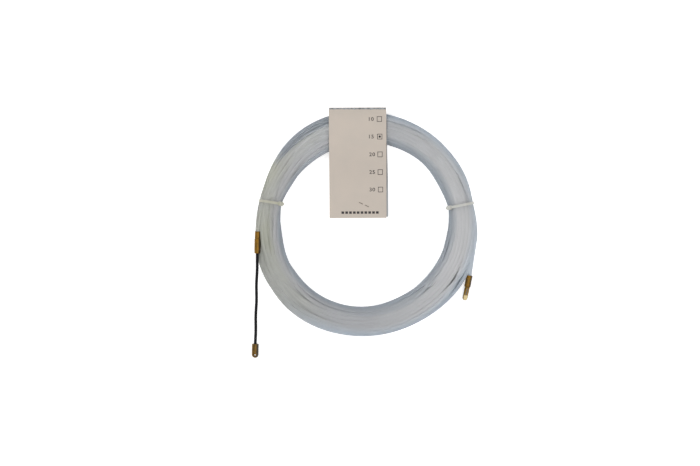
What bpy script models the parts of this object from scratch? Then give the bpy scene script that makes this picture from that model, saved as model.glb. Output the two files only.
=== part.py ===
"""Nylon fish tape, hand coiled and tied, with brass pulling fittings on both ends.

Metres, +Z up. The coil lies flat on z = 0. Places are measured from the coil's axis, and `at`
moves them into the part's own frame, whose origin is the bottom centre of the whole part.
"""

import math

import bmesh
import bpy
from mathutils import Matrix, Vector

# The coil's axis in the part's frame
COIL_X = 0.00051
COIL_Y = 0.00858

# The coil of tape
TAPE_DIAMETER = 0.0040
COIL_INNER = 0.0820
COIL_OUTER = 0.1125
COIL_HEIGHT = 0.0170
COIL_MIDDLE = (COIL_INNER + COIL_OUTER) / 2
COIL_BELLY = 0.0082
COIL_ROUNDNESS = 2.3
COIL_STEPS = 96
COIL_PROFILE_POINTS = 24

# The clearance that pieces keep where they touch, and the smaller one of thin pieces
GAP = 0.0003
FINE_GAP = 0.00015
WELD = 0.000001

# The route of the tape's front end, from the left tie to its ferrule, and of its rear end
FRONT_ROUTE = (
    (-0.1029, 0.0204, 0.0126),
    (-0.1049, 0.0100, 0.0126),
    (-0.1063, 0.0010, 0.0125),
    (-0.1070, -0.0071, 0.0123),
)
REAR_ROUTE = (
    (0.1094, -0.0200, 0.0082),
    (0.1077, -0.0310, 0.0078),
    (0.1063, -0.0410, 0.0071),
    (0.1047, -0.0512, 0.0061),
)
ROUTE_POINTS_PER_SPAN = 5

# The front fittings lie on one straight axis that comes down to the table
FRONT_START = Vector((-0.1070, -0.0071, 0.0123))
FRONT_END = Vector((-0.1102, -0.1340, 0.0032))
FRONT_FERRULE_RADIUS = 0.00290
FRONT_FERRULE_LENGTH = 0.0072
LEADER_FERRULE_RADIUS = 0.00315
LEADER_FERRULE_LENGTH = 0.0150
LEADER_RADIUS = 0.00155
LEADER_CORE_RADIUS = 0.00055
LEADER_DEPTH = 0.0060
TIP_RADIUS = 0.00340
TIP_LENGTH = 0.0142
TIP_HOLE_RADIUS = 0.0010
TIP_HOLE_FROM_END = 0.0030
STUD_RADIUS = 0.0015
STUD_LENGTH = 0.0035
CHAMFER = 0.0004
ROUND_STEPS = 32

# The rear fittings lie on one straight axis
REAR_START = Vector((0.1047, -0.0512, 0.0061))
REAR_END = Vector((0.0998, -0.0763, 0.0033))
REAR_FERRULE_RADIUS = 0.00320
REAR_FERRULE_LENGTH = 0.0120
EYE_RADIUS = 0.00260
EYE_FLAT_DEPTH = 0.0011
EYE_FLAT_FROM_FERRULE = 0.0005
EYE_SLOT_WIDTH = 0.0012
EYE_SLOT_LENGTH = 0.0066
EYE_SLOT_FROM_END = 0.0092
EYE_ROLL = 12.0

# The cable ties: where they sit on the coil, their lean, and the outline of their loops
TIE_WIDTH = 0.0025
TIE_THICKNESS = 0.0011
TIE_ROUNDNESS = 2.5
TIE_LOOP_POINTS = 40
TIE_HEAD = (0.0044, 0.0032, 0.0042)
TIE_TAIL = (0.0064, 0.0010, 0.0022)
TIE_PLACES = {
    "left_cable_tie": {"angle": 166.9, "lean": 4.1, "inner": 0.0852, "outer": 0.1086, "height": 0.0210},
    "right_cable_tie": {"angle": 11.1, "lean": 0.4, "inner": 0.0839, "outer": 0.1110, "height": 0.0196},
}
TIE_HEAD_TURN = 146.0

# The folded card tag, and the staple that closes it
TAG_LEFT = -0.0355
TAG_RIGHT = 0.0217
TAG_FREE_END = 0.0062
TAG_FOLD = 0.1167
TAG_TURN = 0.3
CARD = 0.0004
TAG_BACK_HEIGHT = 0.00085
TAG_FOLD_START = 0.1040
TAG_SLOPE_TOP = 0.0900
TAG_SLOPE_BOTTOM = 0.0300
TAG_CURVE_POINTS = 14
STAPLE_CENTRE = (-0.0010, 0.0197)
STAPLE_TURN = -25.0
STAPLE_WIRE = 0.0005
STAPLE_HALF_WIDTH = 0.00525
STAPLE_LEG = 0.00405
STAPLE_BEND = 0.0004


def at(x, y, z=0.0):
    """A point given from the coil's axis, in the part's frame."""
    return Vector((COIL_X + x, COIL_Y + y, z))


def clear_scene():
    for obj in list(bpy.data.objects):
        bpy.data.objects.remove(obj, do_unlink=True)


def new_collection(name):
    collection = bpy.data.collections.new(name)
    bpy.context.scene.collection.children.link(collection)
    return collection


def new_material(name, colour, roughness, metallic=0.0, transmission=0.0):
    material = bpy.data.materials.new(name)
    material.use_nodes = True
    shader = material.node_tree.nodes["Principled BSDF"]
    shader.inputs["Base Color"].default_value = (*colour, 1.0)
    shader.inputs["Roughness"].default_value = roughness
    shader.inputs["Metallic"].default_value = metallic
    shader.inputs["Transmission Weight"].default_value = transmission
    material.diffuse_color = (*colour, 1.0)
    return material


def add_object(name, data, matrix, collection, material=None):
    obj = bpy.data.objects.new(name, data)
    obj.matrix_world = matrix
    collection.objects.link(obj)
    if material:
        data.materials.append(material)
    if collection.name == "cutters":
        obj.hide_render = True
        obj.display_type = "WIRE"
    return obj


def turned(name, profile, matrix, collection, material=None, steps=ROUND_STEPS, closed=False):
    """A profile of (radius, height) points turned about the local Z axis."""
    mesh = bpy.data.meshes.new(name)
    count = len(profile)
    edges = [(index, index + 1) for index in range(count - 1)]
    if closed:
        edges.append((count - 1, 0))
    mesh.from_pydata([(radius, 0.0, height) for radius, height in profile], edges, [])
    obj = add_object(name, mesh, matrix, collection, material)
    screw = obj.modifiers.new("Turn", "SCREW")
    screw.steps = steps
    screw.render_steps = steps
    screw.use_merge_vertices = True
    screw.merge_threshold = 0.00002
    screw.use_smooth_shade = True
    return obj


def curve_object(name, splines, matrix, collection, material=None, flat=False):
    """A curve of straight-sided splines, each a list of points: closed outlines, or one open route."""
    curve = bpy.data.curves.new(name, "CURVE")
    curve.dimensions = "2D" if flat else "3D"
    for points in splines:
        spline = curve.splines.new("POLY")
        spline.points.add(len(points) - 1)
        for target, point in zip(spline.points, points):
            target.co = (*point, 0.0, 1.0) if flat else (*point, 1.0)
        spline.use_cyclic_u = flat
        spline.use_smooth = not flat
    return add_object(name, curve, matrix, collection, material)


def tube(name, points, radius, collection, material=None, resolution=3):
    obj = curve_object(name, [points], Matrix.Identity(4), collection, material)
    obj.data.bevel_depth = radius
    obj.data.bevel_resolution = resolution
    obj.data.use_fill_caps = True
    return obj


def plate(name, outlines, thickness, matrix, collection, material=None):
    """Closed outlines in the local XY plane, filled between them and as thick as given."""
    obj = curve_object(name, outlines, matrix, collection, material, flat=True)
    obj.data.fill_mode = "BOTH"
    obj.data.extrude = thickness / 2
    return obj


def as_mesh(curve):
    """The curve's evaluated mesh, welded, in place of the curve."""
    graph = bpy.context.evaluated_depsgraph_get()
    mesh = bpy.data.meshes.new_from_object(curve.evaluated_get(graph))
    welded = bmesh.new()
    welded.from_mesh(mesh)
    bmesh.ops.remove_doubles(welded, verts=welded.verts, dist=WELD)
    bmesh.ops.recalc_face_normals(welded, faces=welded.faces)
    welded.to_mesh(mesh)
    welded.free()
    name = curve.name
    matrix = curve.matrix_world.copy()
    collection = curve.users_collection[0]
    bpy.data.objects.remove(curve, do_unlink=True)
    return add_object(name, mesh, matrix, collection)


def block(name, size, matrix, collection):
    """A box centred on the local origin."""
    mesh = bpy.data.meshes.new(name)
    solid = bmesh.new()
    bmesh.ops.create_cube(solid, size=1.0)
    bmesh.ops.scale(solid, vec=size, verts=solid.verts)
    solid.to_mesh(mesh)
    solid.free()
    return add_object(name, mesh, matrix, collection)


def rod(name, radius, length, matrix, collection, segments=24):
    """A cylinder centred on the local origin, along the local Z axis."""
    mesh = bpy.data.meshes.new(name)
    solid = bmesh.new()
    bmesh.ops.create_cone(
        solid, cap_ends=True, segments=segments, radius1=radius, radius2=radius, depth=length
    )
    solid.to_mesh(mesh)
    solid.free()
    return add_object(name, mesh, matrix, collection)


def combine(obj, other, operation):
    boolean = obj.modifiers.new(f"{operation.title()} {other.name}", "BOOLEAN")
    boolean.operation = operation
    boolean.solver = "EXACT"
    boolean.object = other


def smooth_route(points, per_span=ROUTE_POINTS_PER_SPAN):
    """Points read from a smooth curve through the route's own points."""
    ends = [points[0] * 2 - points[1], *points, points[-1] * 2 - points[-2]]
    route = []
    for index in range(1, len(ends) - 2):
        before, start, stop, after = ends[index - 1 : index + 3]
        for step in range(per_span):
            t = step / per_span
            route.append(
                0.5
                * (
                    2 * start
                    + (stop - before) * t
                    + (2 * before - 5 * start + 4 * stop - after) * t * t
                    + (3 * start - before - 3 * stop + after) * t * t * t
                )
            )
    route.append(points[-1].copy())
    return route


def superellipse(middle, half_width, half_height, belly, roundness, turn):
    """The point at `turn` radians round a rounded outline, as (across, up)."""
    power = 2 / roundness
    across = math.copysign(abs(math.cos(turn)) ** power, math.cos(turn))
    up = math.copysign(abs(math.sin(turn)) ** power, math.sin(turn))
    return middle + half_width * across, belly + half_height * up


def axis_frame(start, end, distance=0.0):
    """A frame on the line from start to end, `distance` along it. Its -Z runs to the end, its Y is up."""
    z_axis = (start - end).normalized()
    x_axis = Vector((0.0, 0.0, 1.0)).cross(z_axis).normalized()
    y_axis = z_axis.cross(x_axis)
    place = start - z_axis * distance
    frame = Matrix((x_axis, y_axis, z_axis)).transposed().to_4x4()
    frame.translation = at(*place)
    return frame


def cable_tie_frame(place):
    """A frame in the tie's plane: X runs outward from the coil's axis and Y runs up."""
    middle = (place["inner"] + place["outer"]) / 2
    turn = Matrix.Rotation(math.radians(place["angle"]), 4, "Z")
    lean = Matrix.Rotation(math.radians(place["lean"]), 4, "Z")
    shift = Matrix.Translation((middle, 0.0, 0.0))
    upright = Matrix.Rotation(math.radians(90.0), 4, "X")
    return Matrix.Translation(at(0.0, 0.0)) @ turn @ shift @ lean @ shift.inverted() @ upright


def tie_outline(place, inset):
    """The loop's outer outline, moved in by `inset`, as (across, up) points."""
    half_width = (place["outer"] - place["inner"]) / 2
    half_height = place["height"] / 2
    middle = place["inner"] + half_width
    outline = []
    for index in range(TIE_LOOP_POINTS):
        turn = 2 * math.pi * index / TIE_LOOP_POINTS
        outline.append(
            superellipse(middle, half_width - inset, half_height - inset, half_height, TIE_ROUNDNESS, turn)
        )
    return outline


def tie_head_frame(place):
    """A frame at the middle of the tie's head: X runs along the strap and Y runs away from the coil."""
    turn = math.radians(TIE_HEAD_TURN)
    half_width = (place["outer"] - place["inner"]) / 2
    half_height = place["height"] / 2
    shape = (place["inner"] + half_width, half_width - TIE_THICKNESS, half_height - TIE_THICKNESS)
    here = Vector(superellipse(*shape, half_height, TIE_ROUNDNESS, turn))
    ahead = Vector(superellipse(*shape, half_height, TIE_ROUNDNESS, turn + 0.05))
    along = (ahead - here).normalized()
    outward = Vector((along.y, -along.x))
    centre = here + outward * (TIE_HEAD[1] / 2 + FINE_GAP)
    local = Matrix.Identity(4)
    local.col[0] = (along.x, along.y, 0.0, 0.0)
    local.col[1] = (outward.x, outward.y, 0.0, 0.0)
    local.col[2] = (0.0, 0.0, -1.0, 0.0)
    local.translation = (centre.x, centre.y, 0.0)
    return cable_tie_frame(place) @ local


def coil_profile():
    """The bundle's section: up the inner side, over the top, down the outer side to the flat underside."""
    half_width = (COIL_OUTER - COIL_INNER) / 2
    half_height = COIL_HEIGHT - COIL_BELLY
    base_turn = math.asin((COIL_BELLY / half_height) ** (COIL_ROUNDNESS / 2))
    first = math.pi + base_turn
    last = -base_turn
    profile = []
    for index in range(COIL_PROFILE_POINTS):
        turn = first + (last - first) * index / (COIL_PROFILE_POINTS - 1)
        radius, height = superellipse(
            COIL_MIDDLE, half_width, half_height, COIL_BELLY, COIL_ROUNDNESS, turn
        )
        profile.append((radius, max(height, 0.0)))
    return profile


def cut_tie_seat(coil, name, place, cutters):
    """Narrows the coil under a cable tie to the strap's own loop, and makes room for its head."""
    frame = cable_tie_frame(place)
    middle = (place["inner"] + place["outer"]) / 2
    slot_size = (0.050, 0.050, TIE_WIDTH + 2 * GAP)
    slot_frame = frame @ Matrix.Translation((middle, place["height"] / 2, 0.0))
    slot = block(f"{name}_slot", slot_size, slot_frame, cutters)
    combine(coil, slot, "DIFFERENCE")
    pocket_size = [length + 2 * GAP for length in TIE_HEAD]
    pocket_size[0] += TIE_TAIL[0] - TIE_HEAD[0]
    pocket = block(f"{name}_pocket", pocket_size, tie_head_frame(place), cutters)
    combine(coil, pocket, "DIFFERENCE")
    waist = plate(
        f"{name}_waist",
        [tie_outline(place, TIE_THICKNESS + GAP)],
        TIE_WIDTH + 8 * GAP,
        frame,
        cutters,
    )
    combine(coil, as_mesh(waist), "UNION")


def cut_tag_recess(coil, cutters):
    """Lifts the coil's underside between the ties, where the tag's back panel slides."""
    first = math.radians(TIE_PLACES["right_cable_tie"]["angle"])
    last = math.radians(TIE_PLACES["left_cable_tie"]["angle"])
    reach = COIL_OUTER * 1.2
    arc_points = 24
    outline = [(0.0, 0.0)]
    for index in range(arc_points):
        turn = first + (last - first) * index / (arc_points - 1)
        outline.append((reach * math.cos(turn), reach * math.sin(turn)))
    top = TAG_BACK_HEIGHT + CARD / 2 + GAP
    below = 0.002
    frame = Matrix.Translation(at(0.0, 0.0, (top - below) / 2))
    recess = plate("tag_recess", [outline], top + below, frame, cutters)
    combine(coil, as_mesh(recess), "DIFFERENCE")


def route_strip(route, half_width):
    """The outline in plan of a strip that follows a route."""
    left = []
    right = []
    for index, point in enumerate(route):
        ahead = route[min(index + 1, len(route) - 1)]
        behind = route[max(index - 1, 0)]
        along = (ahead - behind).to_2d().normalized()
        side = Vector((-along.y, along.x)) * half_width
        left.append(point.to_2d() + side)
        right.append(point.to_2d() - side)
    return left + right[::-1]


def cut_end_troughs(coil, cutters):
    """Troughs in which the tape's two ends leave the coil, open to the top or to the side."""
    clearance = TAPE_DIAMETER / 2 + GAP
    route = smooth_route([Vector(point) for point in FRONT_ROUTE])
    route[0] -= (route[1] - route[0]).normalized() * GAP
    depth = COIL_HEIGHT
    floor = FRONT_ROUTE[-1][2] - clearance
    frame = Matrix.Translation(at(0.0, 0.0, floor + depth / 2))
    trough = plate("front_tape_trough", [route_strip(route, clearance)], depth, frame, cutters)
    combine(coil, as_mesh(trough), "DIFFERENCE")

    ferrule_clearance = LEADER_FERRULE_RADIUS + GAP
    length = 0.050
    ferrule_frame = axis_frame(FRONT_START, FRONT_END, length / 2 - GAP)
    raised = Matrix.Translation((0.0, depth / 2 - ferrule_clearance, 0.0))
    size = (2 * ferrule_clearance, depth, length)
    ferrule_trough = block("front_ferrule_trough", size, ferrule_frame @ raised, cutters)
    combine(coil, ferrule_trough, "DIFFERENCE")

    rear = smooth_route([Vector(point) for point in REAR_ROUTE])
    rear[0] -= (rear[1] - rear[0]).normalized() * GAP
    rear_trough = tube("rear_tape_trough", [at(*point) for point in rear], clearance, cutters)
    combine(coil, as_mesh(rear_trough), "DIFFERENCE")


def make_tape(part, cutters, nylon):
    """The wound coil as one solid of its outer shape, and the two stretches that leave it."""
    coil = turned(
        "tape_coil",
        coil_profile(),
        Matrix.Translation(at(0.0, 0.0)),
        part,
        nylon,
        steps=COIL_STEPS,
        closed=True,
    )
    for name, place in TIE_PLACES.items():
        cut_tie_seat(coil, name, place, cutters)
    cut_tag_recess(coil, cutters)
    cut_end_troughs(coil, cutters)
    ends = (
        ("front_tape_end", FRONT_ROUTE, FRONT_START, FRONT_END, FRONT_FERRULE_LENGTH - 0.0016),
        ("rear_tape_end", REAR_ROUTE, REAR_START, REAR_END, REAR_FERRULE_LENGTH - 0.0060),
    )
    for name, points, start, end, depth in ends:
        route = smooth_route([Vector(point) for point in points])
        route.append(start + (end - start).normalized() * depth)
        tube(name, [at(*point) for point in route], TAPE_DIAMETER / 2, part, nylon)


def make_front_ferrule(part, brass):
    """A crimp sleeve on the tape, with the stud that the leader screws on."""
    bore = TAPE_DIAMETER / 2 + GAP
    floor = -(FRONT_FERRULE_LENGTH - 0.0012)
    end = -FRONT_FERRULE_LENGTH
    radius = FRONT_FERRULE_RADIUS
    profile = [
        (0.0, floor),
        (bore, floor),
        (bore, 0.0),
        (radius - CHAMFER / 2, 0.0),
        (radius, -CHAMFER / 2),
        (radius, end + CHAMFER / 2),
        (radius - CHAMFER / 2, end),
        (STUD_RADIUS, end),
        (STUD_RADIUS, end - STUD_LENGTH + CHAMFER),
        (STUD_RADIUS - CHAMFER, end - STUD_LENGTH),
        (0.0, end - STUD_LENGTH),
    ]
    turned("front_ferrule", profile, axis_frame(FRONT_START, FRONT_END), part, brass)


def make_leader(part, brass, steel):
    """The screw-on ferrule, the wire leader as its core and its outer strands, and the bullet tip."""
    ferrule_from = FRONT_FERRULE_LENGTH + GAP
    ferrule_to = FRONT_FERRULE_LENGTH + LEADER_FERRULE_LENGTH
    length = ferrule_to - ferrule_from
    radius = LEADER_FERRULE_RADIUS
    stud_bore = STUD_RADIUS + GAP
    leader_bore = LEADER_RADIUS + GAP
    frame = axis_frame(FRONT_START, FRONT_END, ferrule_from)
    profile = [
        (0.0, -STUD_LENGTH - GAP),
        (stud_bore, -STUD_LENGTH - GAP),
        (stud_bore, 0.0),
        (radius - CHAMFER / 2, 0.0),
        (radius, -CHAMFER / 2),
        (radius, -length + 2 * CHAMFER),
        (radius - 2 * CHAMFER, -length),
        (leader_bore, -length),
        (leader_bore, -length + LEADER_DEPTH + GAP),
        (0.0, -length + LEADER_DEPTH + GAP),
    ]
    turned("leader_ferrule", profile, frame, part, brass)

    tip_from = (FRONT_END - FRONT_START).length - TIP_LENGTH
    leader_from = ferrule_to - LEADER_DEPTH
    leader_length = tip_from + LEADER_DEPTH - leader_from
    leader_frame = axis_frame(FRONT_START, FRONT_END, leader_from)
    core = [
        (0.0, 0.0),
        (LEADER_CORE_RADIUS, 0.0),
        (LEADER_CORE_RADIUS, -leader_length),
        (0.0, -leader_length),
    ]
    strand_inner = LEADER_CORE_RADIUS + FINE_GAP
    strands = [
        (strand_inner, 0.0),
        (LEADER_RADIUS, 0.0),
        (LEADER_RADIUS, -leader_length),
        (strand_inner, -leader_length),
    ]
    turned("leader_core", core, leader_frame, part, steel, steps=12)
    turned("leader_strands", strands, leader_frame, part, steel, steps=24, closed=True)
    return tip_from


def make_tip(part, cutters, brass, tip_from):
    """The bullet tip, with its blind bore for the leader and a cross hole near the nose."""
    nose_points = 8
    straight = TIP_LENGTH - TIP_RADIUS
    bore = LEADER_RADIUS + GAP
    bore_floor = -LEADER_DEPTH - GAP
    profile = [
        (0.0, bore_floor),
        (bore, bore_floor),
        (bore, 0.0),
        (TIP_RADIUS - CHAMFER, 0.0),
        (TIP_RADIUS, -CHAMFER),
    ]
    for index in range(nose_points):
        turn = math.pi / 2 * index / (nose_points - 1)
        profile.append((TIP_RADIUS * math.cos(turn), -straight - TIP_RADIUS * math.sin(turn)))
    profile[-1] = (0.0, -TIP_LENGTH)
    middle_of_leader = (FRONT_START + FRONT_END) / 2
    flex_axis = bpy.data.objects.new("leader_flex_axis", None)
    flex_axis.location = at(*middle_of_leader)
    part.objects.link(flex_axis)
    world = axis_frame(FRONT_START, FRONT_END, tip_from)
    tip = turned("leader_tip", profile, world, part, brass)
    hole_frame = world @ Matrix.Translation((0.0, 0.0, TIP_HOLE_FROM_END - TIP_LENGTH))
    hole_frame = hole_frame @ Matrix.Rotation(math.radians(90.0), 4, "X")
    hole = rod("tip_cross_hole", TIP_HOLE_RADIUS, 4 * TIP_RADIUS, hole_frame, cutters)
    combine(tip, hole, "DIFFERENCE")
    tip.parent = flex_axis
    tip.matrix_basis = Matrix.Translation(-flex_axis.location) @ world


def make_rear_fittings(part, cutters, brass):
    """The crimp ferrule on the rear end, and the screwed-in eye pin with its tapering flats and slot."""
    bore = TAPE_DIAMETER / 2 + GAP
    stud_bore = STUD_RADIUS + GAP
    radius = REAR_FERRULE_RADIUS
    length = REAR_FERRULE_LENGTH
    ferrule = [
        (0.0, -length + 0.0050),
        (bore, -length + 0.0050),
        (bore, 0.0),
        (radius - CHAMFER, 0.0),
        (radius, -CHAMFER),
        (radius, -length + CHAMFER),
        (radius - CHAMFER, -length),
        (stud_bore, -length),
        (stud_bore, -length + STUD_LENGTH + GAP),
        (0.0, -length + STUD_LENGTH + GAP),
    ]
    turned("rear_ferrule", ferrule, axis_frame(REAR_START, REAR_END), part, brass)

    frame = axis_frame(REAR_START, REAR_END, length + GAP)
    frame = frame @ Matrix.Rotation(math.radians(EYE_ROLL), 4, "Z")
    pin_length = (REAR_END - REAR_START).length - length - GAP
    dome_points = 8
    profile = [
        (0.0, STUD_LENGTH),
        (STUD_RADIUS - CHAMFER, STUD_LENGTH),
        (STUD_RADIUS, STUD_LENGTH - CHAMFER),
        (STUD_RADIUS, 0.0),
    ]
    profile.append((EYE_RADIUS, 0.0))
    for index in range(dome_points):
        turn = math.pi / 2 * index / (dome_points - 1)
        profile.append((EYE_RADIUS * math.cos(turn), -pin_length + EYE_RADIUS * (1 - math.sin(turn))))
    profile[-1] = (0.0, -pin_length)
    eye = turned("rear_eye", profile, frame, part, brass)

    flat_run = pin_length - EYE_FLAT_FROM_FERRULE
    slant = math.atan2(EYE_FLAT_DEPTH, flat_run)
    flat_height = 0.004
    for side in (1, -1):
        hinge = Matrix.Translation((0.0, side * EYE_RADIUS, -EYE_FLAT_FROM_FERRULE))
        tilt = Matrix.Rotation(-side * slant, 4, "X")
        lift = Matrix.Translation((0.0, side * flat_height / 2, -flat_run / 2))
        flat_frame = frame @ hinge @ tilt @ lift
        flat = block(f"eye_flat_{side}", (0.010, flat_height, flat_run * 1.4), flat_frame, cutters)
        combine(eye, flat, "DIFFERENCE")
    make_eye_slot(eye, frame, pin_length, cutters)


def make_eye_slot(eye, frame, pin_length, cutters):
    """The oblong hole through the pin's two flats."""
    end_radius = EYE_SLOT_WIDTH / 2
    half_straight = EYE_SLOT_LENGTH / 2 - end_radius
    outline = []
    points_per_end = 9
    for end in (1, -1):
        for index in range(points_per_end):
            turn = math.pi * index / (points_per_end - 1)
            if end < 0:
                turn += math.pi
            along = end * half_straight + end_radius * math.sin(turn)
            outline.append((end_radius * math.cos(turn), along))
    place = Matrix.Translation((0.0, 0.0, EYE_SLOT_FROM_END - pin_length))
    slot_frame = frame @ place @ Matrix.Rotation(math.radians(90.0), 4, "X")
    slot = plate("eye_slot", [outline], 4 * EYE_RADIUS, slot_frame, cutters)
    combine(eye, as_mesh(slot), "DIFFERENCE")


def make_cable_tie(name, place, part, cutters, nylon):
    """One moulding: the strap's loop, its ratchet head, and the clipped tail that stands out of it."""
    outlines = [tie_outline(place, 0.0), tie_outline(place, TIE_THICKNESS)]
    tie = as_mesh(plate(name, outlines, TIE_WIDTH, cable_tie_frame(place), part))
    tie.data.materials.append(nylon)
    head_frame = tie_head_frame(place)
    head = block(f"{name}_head", TIE_HEAD, head_frame, cutters)
    bevel = head.modifiers.new("Rounded edges", "BEVEL")
    bevel.width = CHAMFER
    bevel.segments = 2
    combine(tie, head, "UNION")
    lift = Matrix.Translation((TIE_TAIL[0] / 2 - TIE_HEAD[0] / 2 + GAP, TIE_TAIL[1] / 2, 0.0))
    tail = block(f"{name}_tail", TIE_TAIL, head_frame @ lift, cutters)
    combine(tie, tail, "UNION")


def tag_centreline():
    """The card's middle line in section, as (y, z): back panel, fold, and front panel down to its free end."""
    top = COIL_HEIGHT + GAP + CARD / 2
    bottom = TAG_BACK_HEIGHT
    closed_height = bottom + CARD + FINE_GAP
    half_height = (top - bottom) / 2
    reach = TAG_FOLD - CARD / 2 - TAG_FOLD_START
    line = [(TAG_FREE_END, bottom), (TAG_FOLD_START, bottom)]
    for index in range(1, TAG_CURVE_POINTS):
        turn = math.pi * (index / TAG_CURVE_POINTS - 0.5)
        line.append(
            superellipse(TAG_FOLD_START, reach, half_height, bottom + half_height, TIE_ROUNDNESS, turn)
        )
    line.append((TAG_FOLD_START, top))
    for index in range(TAG_CURVE_POINTS + 1):
        share = index / TAG_CURVE_POINTS
        y = TAG_SLOPE_TOP + (TAG_SLOPE_BOTTOM - TAG_SLOPE_TOP) * share
        fall = 0.5 - 0.5 * math.cos(math.pi * share)
        line.append((y, top + (closed_height - top) * fall))
    line.append((TAG_FREE_END, closed_height))
    return [Vector(point) for point in line]


def make_tag(part, cutters, card, steel):
    """The folded card round the bundle, and its staple. Both turn about the coil's axis."""
    slide_axis = bpy.data.objects.new("tag_slide_axis", None)
    slide_axis.location = at(0.0, 0.0)
    part.objects.link(slide_axis)
    middle_x = (TAG_LEFT + TAG_RIGHT) / 2
    turn = Matrix.Rotation(math.radians(TAG_TURN), 4, "Z")
    upright = Matrix(((0, 0, 1, 0), (1, 0, 0, 0), (0, 1, 0, 0), (0, 0, 0, 1)))
    tag_frame = Matrix.Translation(at(middle_x, 0.0)) @ turn @ upright
    outline = route_strip([Vector((*point, 0.0)) for point in tag_centreline()], CARD / 2)
    tag = as_mesh(plate("tag_card", [outline], TAG_RIGHT - TAG_LEFT, tag_frame, part))
    tag.data.materials.append(card)

    bottom = STAPLE_WIRE / 2
    top = TAG_BACK_HEIGHT + 1.5 * CARD + 2 * FINE_GAP + STAPLE_WIRE / 2
    half = STAPLE_HALF_WIDTH
    turn = Matrix.Rotation(math.radians(STAPLE_TURN), 4, "Z")
    staple_frame = Matrix.Translation(at(*STAPLE_CENTRE)) @ turn
    right_half = [(half - STAPLE_LEG, top)]
    right_half += corner(half, top, STAPLE_BEND, 90.0, 0.0)
    right_half += corner(half, bottom, STAPLE_BEND, 0.0, -90.0)
    route = [(x, z) for x, z in right_half] + [(-x, z) for x, z in right_half[::-1]]
    points = [staple_frame @ Vector((x, 0.0, z)) for x, z in route]
    staple = as_mesh(tube("tag_staple", points, STAPLE_WIRE / 2, part, resolution=2))
    staple.data.materials.append(steel)
    staple.data.shade_smooth()
    for side in (1, -1):
        place = staple_frame @ Matrix.Translation((side * half, 0.0, 0.0))
        hole = rod(f"staple_hole_{side}", STAPLE_WIRE / 2 + FINE_GAP, 0.010, place, cutters, 12)
        combine(tag, hole, "DIFFERENCE")
    for piece in (tag, staple):
        world = piece.matrix_world.copy()
        piece.parent = slide_axis
        piece.matrix_basis = Matrix.Translation(-slide_axis.location) @ world


def corner(x, z, radius, first, last):
    """Points round a bend whose tangents meet at (x, z), seen from a centre toward the middle of the wire."""
    centre = (x - radius, z - radius if z > STAPLE_WIRE else z + radius)
    points = []
    for share in (0.0, 0.33, 0.67, 1.0):
        turn = math.radians(first + (last - first) * share)
        points.append((centre[0] + radius * math.cos(turn), centre[1] + radius * math.sin(turn)))
    return points


def build():
    clear_scene()
    part = new_collection("nylon_fish_tape")
    cutters = new_collection("cutters")
    nylon = new_material("translucent_nylon", (0.62, 0.64, 0.62), 0.35, transmission=0.4)
    tie_nylon = new_material("natural_nylon", (0.72, 0.70, 0.60), 0.45)
    brass = new_material("brass", (0.48, 0.30, 0.09), 0.35, metallic=1.0)
    black_steel = new_material("black_steel_wire", (0.02, 0.02, 0.022), 0.45, metallic=0.6)
    steel = new_material("staple_steel", (0.45, 0.45, 0.47), 0.35, metallic=1.0)
    card = new_material("card", (0.56, 0.48, 0.42), 0.85)
    make_tape(part, cutters, nylon)
    make_front_ferrule(part, brass)
    tip_from = make_leader(part, brass, black_steel)
    make_tip(part, cutters, brass, tip_from)
    make_rear_fittings(part, cutters, brass)
    for name, place in TIE_PLACES.items():
        make_cable_tie(name, place, part, cutters, tie_nylon)
    make_tag(part, cutters, card, steel)


build()
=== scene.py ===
"""The looks of a hand-coiled nylon fish tape with brass fittings, in the CAD's frame, in metres."""

import math

import bmesh
import bpy
import numpy as np
from mathutils import Matrix, Vector


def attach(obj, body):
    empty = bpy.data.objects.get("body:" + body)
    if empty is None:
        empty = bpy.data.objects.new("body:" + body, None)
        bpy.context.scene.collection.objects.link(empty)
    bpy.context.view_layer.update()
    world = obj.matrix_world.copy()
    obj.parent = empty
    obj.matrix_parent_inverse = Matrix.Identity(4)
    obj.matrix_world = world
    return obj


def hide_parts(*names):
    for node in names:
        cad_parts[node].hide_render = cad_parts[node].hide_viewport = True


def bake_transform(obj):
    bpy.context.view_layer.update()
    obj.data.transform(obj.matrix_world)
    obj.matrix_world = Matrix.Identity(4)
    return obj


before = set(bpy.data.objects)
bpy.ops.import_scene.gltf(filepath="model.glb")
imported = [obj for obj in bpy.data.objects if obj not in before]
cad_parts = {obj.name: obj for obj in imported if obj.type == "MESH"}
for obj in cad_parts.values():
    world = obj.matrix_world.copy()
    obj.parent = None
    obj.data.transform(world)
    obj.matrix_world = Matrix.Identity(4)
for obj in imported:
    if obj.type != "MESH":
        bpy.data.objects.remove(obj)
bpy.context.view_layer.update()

# The coil's axis, and the tape
COIL_X = 0.00051
COIL_Y = 0.00858
TAPE_RADIUS = 0.0020
# How far apart the winding pushes the strands' centres
PITCH = 0.0042
# The bundle's middle line, for the tape's shading: its radius, and how far below the floor it is taken to lie
COIL_MIDDLE = 0.0972
SHADING_DEPTH = 0.0040

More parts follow.
